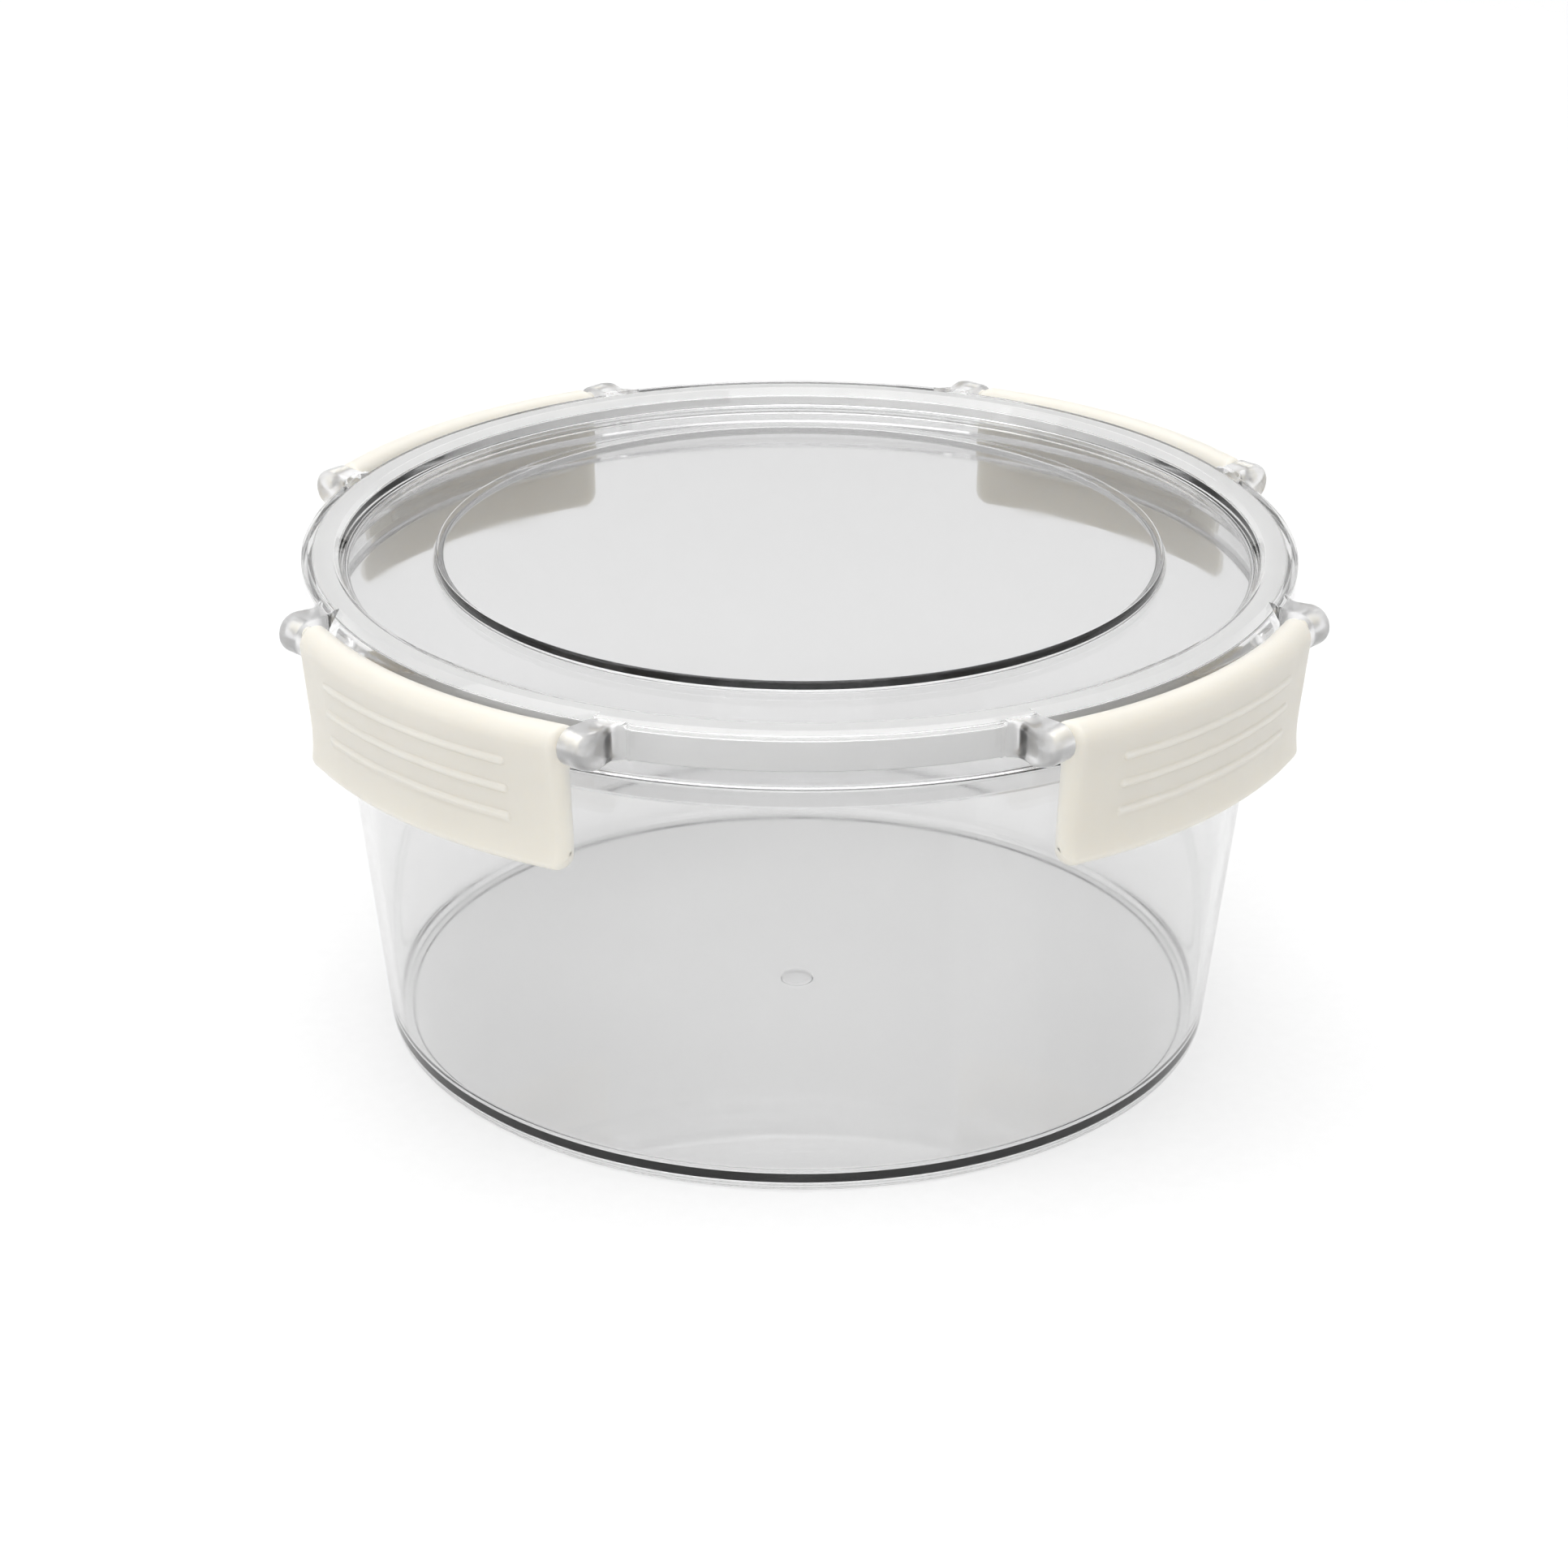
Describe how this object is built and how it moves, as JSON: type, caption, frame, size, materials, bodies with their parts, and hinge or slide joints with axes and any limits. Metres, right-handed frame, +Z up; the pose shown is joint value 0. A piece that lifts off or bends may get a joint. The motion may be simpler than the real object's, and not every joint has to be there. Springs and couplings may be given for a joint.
{
  "type": "food canister",
  "caption": "Round clear plastic food canister with a tapered bowl, a recessed lid with a seal ring, and white hinged latches that hook under the bowl's flange.",
  "frame": {"origin": "centre of the foot ring, on the surface that the canister stands on", "axes": "+Z up along the bowl's turning axis; -Y towards the front, midway between two latches; +X to the right"},
  "size_m": [0.1916, 0.1916, 0.0974],
  "materials": {
    "bowl_plastic": "polished clear plastic with a faint cool grey tint",
    "lid_plastic": "polished clear plastic with a faint cool grey tint",
    "seal": "translucent silicone, satin",
    "latch_plastic": "satin warm white, fine moulded texture"
  },
  "bodies": {
    "bowl": {"bowl": "bowl_plastic"},
    "lid": {"lid": "lid_plastic", "gasket": "seal"},
    "front_left_latch": {"front_left_latch": "latch_plastic"},
    "front_right_latch": {"front_right_latch": "latch_plastic"},
    "back_right_latch": {"back_right_latch": "latch_plastic"},
    "back_left_latch": {"back_left_latch": "latch_plastic"}
  },
  "joints": [
    {"name": "lid_lift", "type": "slide", "parent": "bowl", "child": "lid", "axis": [0, 0, 1], "range_m": [0, 0.09]},
    {"name": "front_left_latch_hinge", "type": "hinge", "parent": "lid", "child": "front_left_latch", "pos_m": [-0.06619, -0.06619, 0.0946], "axis": [-0.7071, 0.7071, 0], "range_deg": [0, 90]},
    {"name": "front_right_latch_hinge", "type": "hinge", "parent": "lid", "child": "front_right_latch", "pos_m": [0.06619, -0.06619, 0.0946], "axis": [-0.7071, -0.7071, 0], "range_deg": [0, 90]},
    {"name": "back_right_latch_hinge", "type": "hinge", "parent": "lid", "child": "back_right_latch", "pos_m": [0.06619, 0.06619, 0.0946], "axis": [0.7071, -0.7071, 0], "range_deg": [0, 90]},
    {"name": "back_left_latch_hinge", "type": "hinge", "parent": "lid", "child": "back_left_latch", "pos_m": [-0.06619, 0.06619, 0.0946], "axis": [0.7071, 0.7071, 0], "range_deg": [0, 90]}
  ]
}
